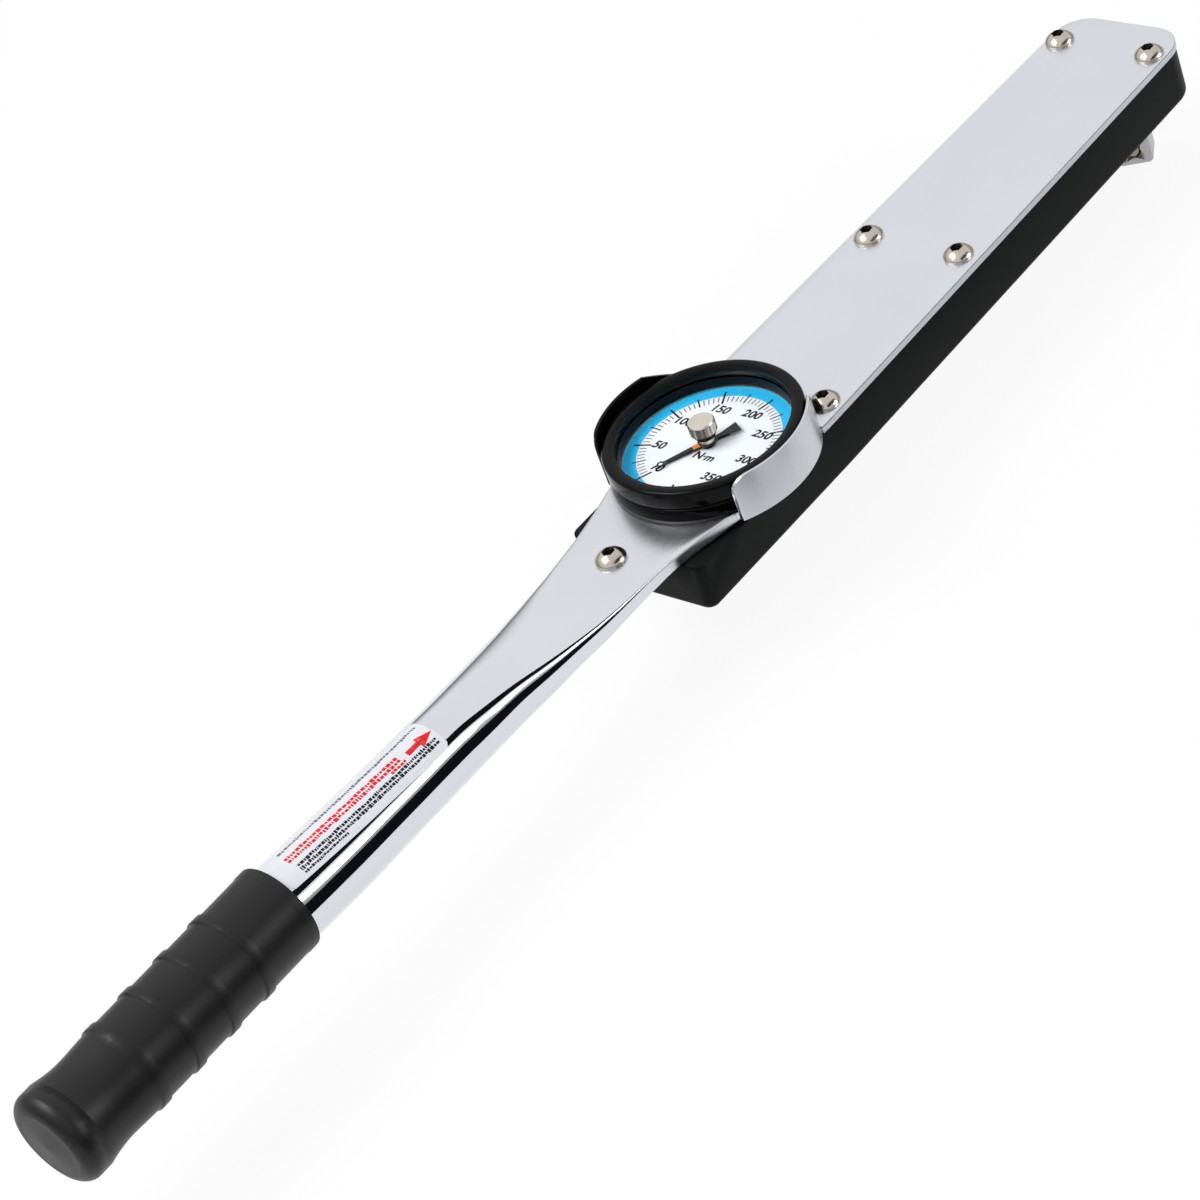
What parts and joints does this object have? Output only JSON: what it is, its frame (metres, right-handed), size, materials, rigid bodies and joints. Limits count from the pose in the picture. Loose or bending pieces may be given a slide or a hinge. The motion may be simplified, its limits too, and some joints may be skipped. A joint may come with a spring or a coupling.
{
  "type": "dial torque wrench",
  "caption": "Dial torque wrench: square drive under a flat housing, round dial with pointer, memory hand and reset knob between guards, chromed handle with a ribbed grip.",
  "frame": {"origin": "middle of the drive square's end face, on the drive axis", "axes": "+Z from the drive square up to the dial, +X from the handle towards the drive head, so the handle points along -X; +Y completes the right-handed frame"},
  "size_m": [0.567, 0.072, 0.0632],
  "materials": {
    "chrome_steel": "polished chrome plate on forged steel, satin on the flat face",
    "guard_steel": "chromed outside",
    "guard_black": "gloss black",
    "cover_plastic": "satin black moulded",
    "bronze": "turned bronze",
    "drive_steel": "ground tool steel",
    "ball_steel": "polished ball",
    "spring_steel": "spring steel",
    "beam_steel": "hardened and ground",
    "block_steel": "blackened steel",
    "screw_steel": "stainless, polished",
    "arm_aluminium": "stamped sheet",
    "bridge_brass": "stamped brass",
    "shaft_steel": "turned and polished",
    "case_black": "gloss black",
    "nut_steel": "plain steel",
    "seal_rubber": "moulded rubber",
    "bezel_black": "gloss black",
    "dial_white": "white dial with a printed scale",
    "trim_copper": "copper toned",
    "spacer_black": "moulded",
    "crystal_clear": "clear lens",
    "pointer_black": "black",
    "hub_brass": "turned brass",
    "knob_metal": "nickel plated, turned",
    "grip_rubber": "matte black, ribbed"
  },
  "bodies": {
    "frame": {"handle_frame": "chrome_steel", "near_guard": "guard_steel", "far_guard": "guard_black", "bottom_cover": "cover_plastic", "drive_bush": "bronze", "thrust_washer": "bronze", "measuring_beam": "beam_steel", "anchor_block": "block_steel", "anchor_pins": "nut_steel", "head_screws": "screw_steel", "middle_screws": "screw_steel", "dial_side_screws": "screw_steel", "neck_screw": "screw_steel", "neck_nut": "nut_steel", "lower_bridge": "bridge_brass", "bridge_screws": "screw_steel", "lower_bush": "bronze", "upper_bush": "bronze", "dial_case": "case_black", "case_ring_nut": "nut_steel", "hairspring": "spring_steel", "hairspring_stud": "bridge_brass", "bezel_seal": "seal_rubber", "grip": "grip_rubber", "grip_end_cap": "grip_rubber"},
    "drive": {"drive_head": "drive_steel", "beam_pins": "nut_steel", "arm_screws": "screw_steel", "indicator_arm": "arm_aluminium", "detent_spring": "spring_steel"},
    "ball": {"detent_ball": "ball_steel"},
    "pointer": {"pointer_shaft": "shaft_steel", "main_pointer": "pointer_black", "pointer_hub": "hub_brass"},
    "bezel": {"bezel": "bezel_black", "dial_retainer": "spring_steel", "dial_plate": "dial_white", "dial_trim_ring": "trim_copper", "spacer_ring": "spacer_black", "crystal": "crystal_clear", "crystal_bush": "spacer_black"},
    "memory_hand": {"memory_pointer": "pointer_black", "reset_knob": "knob_metal"}
  },
  "joints": [
    {"name": "drive_flex", "type": "hinge", "parent": "frame", "child": "drive", "pos_m": [0, 0, 0.03], "axis": [0, 0, 1], "range_deg": [-3, 3], "stiffness_Nm_per_rad": 20, "deforming": ["measuring_beam"]},
    {"name": "pointer_turn", "type": "hinge", "parent": "frame", "child": "pointer", "pos_m": [-0.234, 0, 0.05], "axis": [0, 0, 1], "range_deg": [-290, 290], "deforming": ["hairspring"]},
    {"name": "bezel_turn", "type": "hinge", "parent": "frame", "child": "bezel", "pos_m": [-0.234, 0, 0.057], "axis": [0, 0, 1], "continuous": true},
    {"name": "memory_turn", "type": "hinge", "parent": "bezel", "child": "memory_hand", "pos_m": [-0.234, 0, 0.058], "axis": [0, 0, 1], "continuous": true},
    {"name": "ball_press", "type": "slide", "parent": "drive", "child": "ball", "axis": [0.8572, 0.515, 0], "range_m": [0, 0.0012], "stiffness_N_per_m": 500, "springref_m": -0.001, "deforming": ["detent_spring"]}
  ],
  "couplings": [
    {"joint": "pointer_turn", "follows": "drive_flex", "ratio": -96.5}
  ]
}
